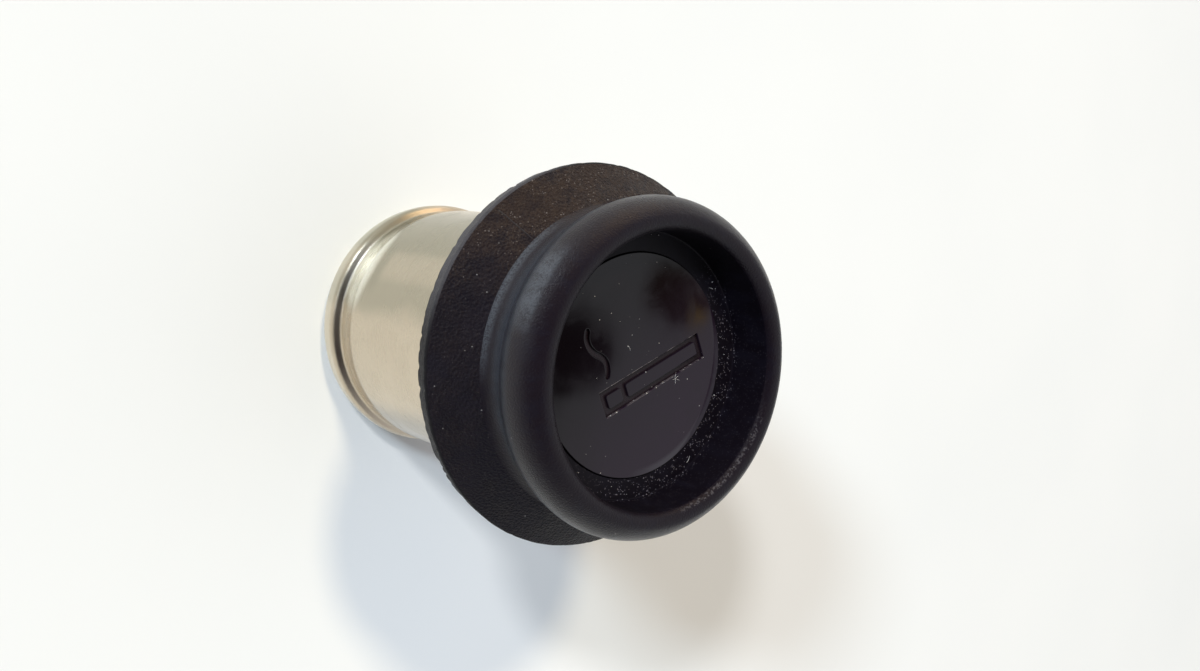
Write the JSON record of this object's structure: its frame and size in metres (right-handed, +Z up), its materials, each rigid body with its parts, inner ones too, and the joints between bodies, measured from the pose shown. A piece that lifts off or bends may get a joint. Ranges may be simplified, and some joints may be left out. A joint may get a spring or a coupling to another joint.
{
  "type": "car cigarette lighter plug",
  "caption": "Push-in cigarette lighter plug for a 12 V car socket: black knob, bright drawn barrel with a rolled bead, sprung stem and a spiral heating element.",
  "frame": {"origin": "centre of the barrel's open end, on the surface that the plug stands on", "axes": "+Z up the plug's axis from the open end of the barrel to the knob; +X and +Y square to it"},
  "size_m": [0.0286, 0.0286, 0.0336],
  "materials": {
    "knob_plastic": "matte black moulding, coarse grain on the flared skirt, satin on the front ring",
    "gloss_black": "polished black face with an engraved cigarette sign",
    "nickel": "nickel-plated drawn sheet, soft warm shine",
    "plain_steel": "turned or stamped bare steel",
    "spring_steel": "dark spring steel",
    "yellow_zinc": "yellow-passivated zinc plate",
    "heat_steel": "stainless sheet, slightly straw-coloured by heat",
    "steatite": "unglazed pressed ceramic",
    "mica": "brownish pressed mica sheet",
    "coil_alloy": "resistance ribbon with a dull oxide skin"
  },
  "bodies": {
    "barrel_group": {"barrel": "nickel", "guide_cup": "nickel", "return_spring": "spring_steel"},
    "slip_ring": {"slip_washer": "plain_steel"},
    "plunger": {"knob": "knob_plastic", "face_insert": "gloss_black", "knob_nut": "yellow_zinc", "lock_washer": "spring_steel", "flat_washer": "plain_steel", "stem": "plain_steel", "stop_ring": "spring_steel", "heat_shield": "heat_steel", "ceramic_insulator": "steatite", "mica_outer": "mica", "element_cup": "heat_steel", "mica_inner": "mica", "heating_coil": "coil_alloy", "centre_rivet": "nickel"}
  },
  "joints": [
    {"name": "push_in", "type": "slide", "parent": "barrel_group", "child": "slip_ring", "axis": [0, 0, -1], "range_m": [0, 0.004], "stiffness_N_per_m": 900, "springref_m": -0.006, "deforming": ["return_spring"]},
    {"name": "knob_spin", "type": "hinge", "parent": "slip_ring", "child": "plunger", "pos_m": [0, 0, 0.028], "axis": [0, 0, 1], "continuous": true}
  ]
}
